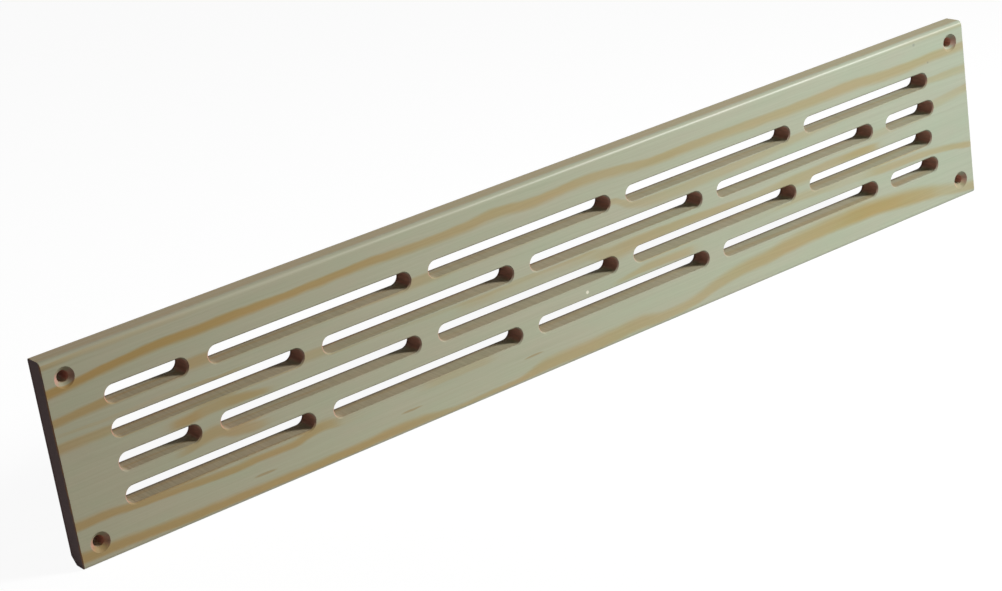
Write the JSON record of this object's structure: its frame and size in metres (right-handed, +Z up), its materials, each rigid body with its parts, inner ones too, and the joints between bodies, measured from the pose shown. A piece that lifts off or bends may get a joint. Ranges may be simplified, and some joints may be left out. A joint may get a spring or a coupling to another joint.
{
  "type": "door transfer grille",
  "caption": "Flat planed softwood board with staggered rows of round-ended slots for air to pass through a door, and countersunk screw holes at its corners.",
  "frame": {"origin": "centre of the back face, which lies against the door", "axes": "+X along the board to the right as seen from the front, +Y from the front face to the back face, +Z up"},
  "size_m": [0.457, 0.0095, 0.08],
  "materials": {
    "softwood": "planed and bare, pale sapwood with tan growth rings"
  },
  "bodies": {
    "root": {"slotted_board": "softwood"}
  },
  "joints": []
}
